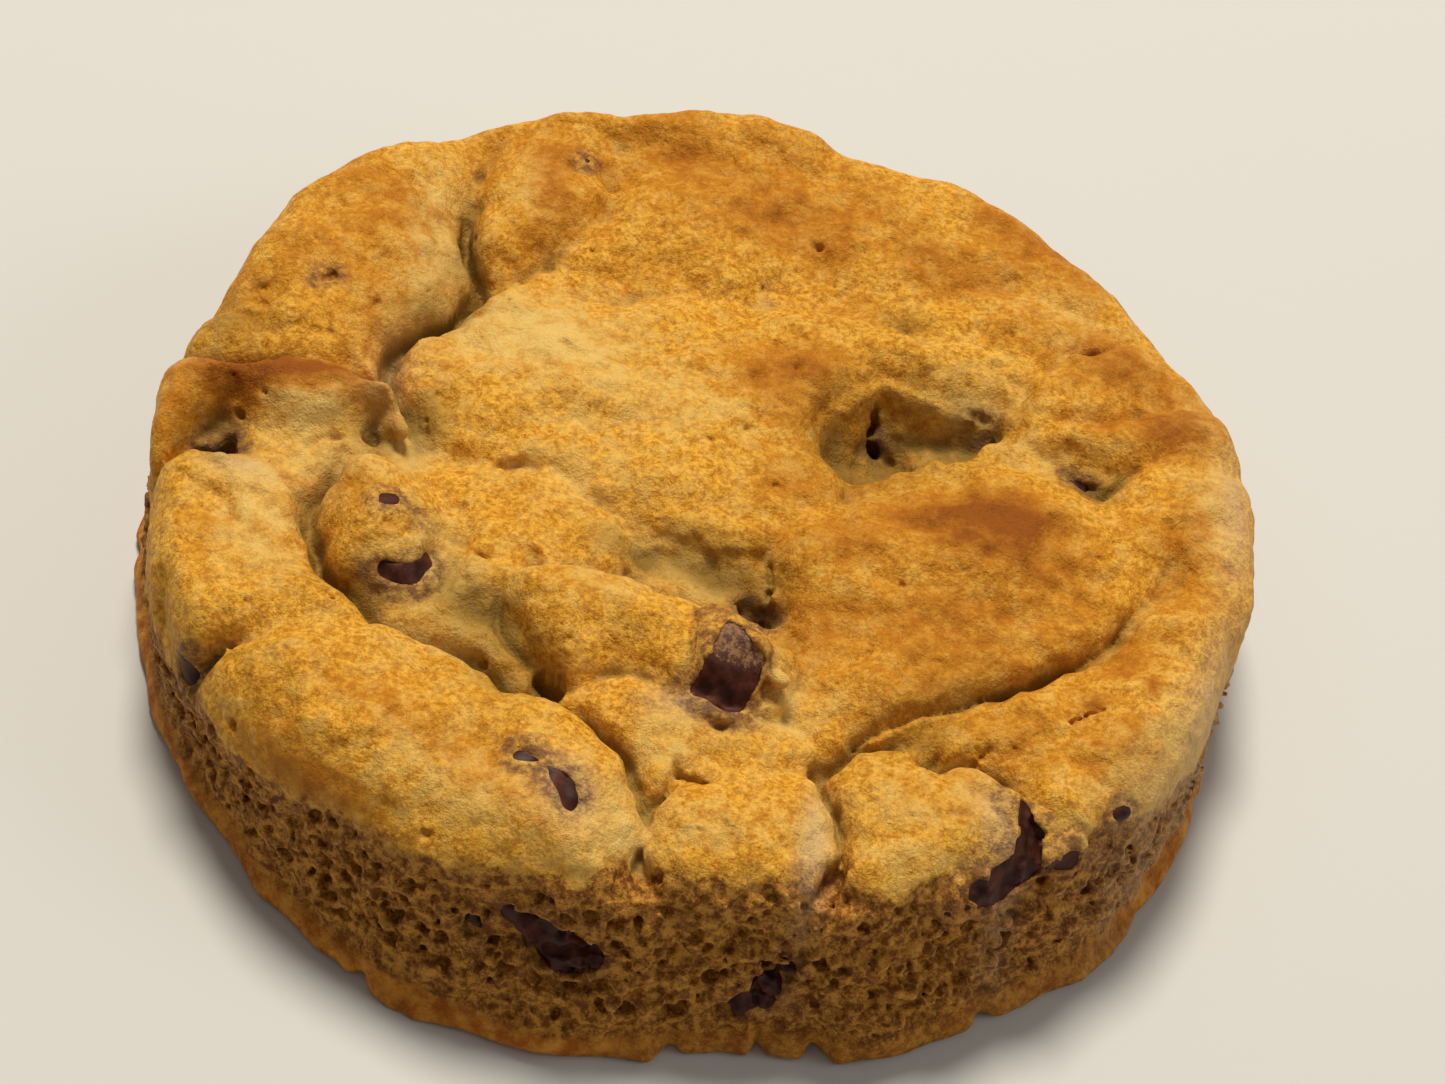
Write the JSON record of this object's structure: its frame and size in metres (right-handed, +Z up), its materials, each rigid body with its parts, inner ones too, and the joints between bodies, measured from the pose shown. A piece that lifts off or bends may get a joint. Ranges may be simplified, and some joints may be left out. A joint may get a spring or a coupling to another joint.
{
  "type": "chocolate chip cookie",
  "caption": "Thick round chocolate chip cookie: lumpy golden top with deep creases, porous side wall, smooth foot and a flat base to rest on.",
  "frame": {"origin": "centre of the whole cookie's box in plan, on the flat base", "axes": "+Z up out of the top; -Y faces the viewer of the front wall; the cookie has no other natural axis"},
  "size_m": [0.102, 0.1018, 0.0235],
  "materials": {
    "dough": "baked, matt, crumbly",
    "chocolate": "satin dark chocolate"
  },
  "bodies": {
    "root": {"dough": "dough", "chip_lump": "chocolate", "chip_mound": "chocolate", "chip_front_left": "chocolate", "chip_front_right": "chocolate", "chip_shoulder": "chocolate", "chip_wall_front": "chocolate", "chip_wall_low": "chocolate", "chip_pocket": "chocolate", "chip_left": "chocolate", "chip_crater": "chocolate", "chip_crater_edge": "chocolate", "chip_recess": "chocolate", "chip_back_left": "chocolate", "chip_back": "chocolate", "chip_notch": "chocolate", "chip_right": "chocolate", "chip_wall_left": "chocolate", "chip_rear_a": "chocolate", "chip_rear_b": "chocolate", "chip_rear_c": "chocolate", "chip_under_a": "chocolate", "chip_under_b": "chocolate", "chip_under_c": "chocolate"}
  },
  "joints": []
}
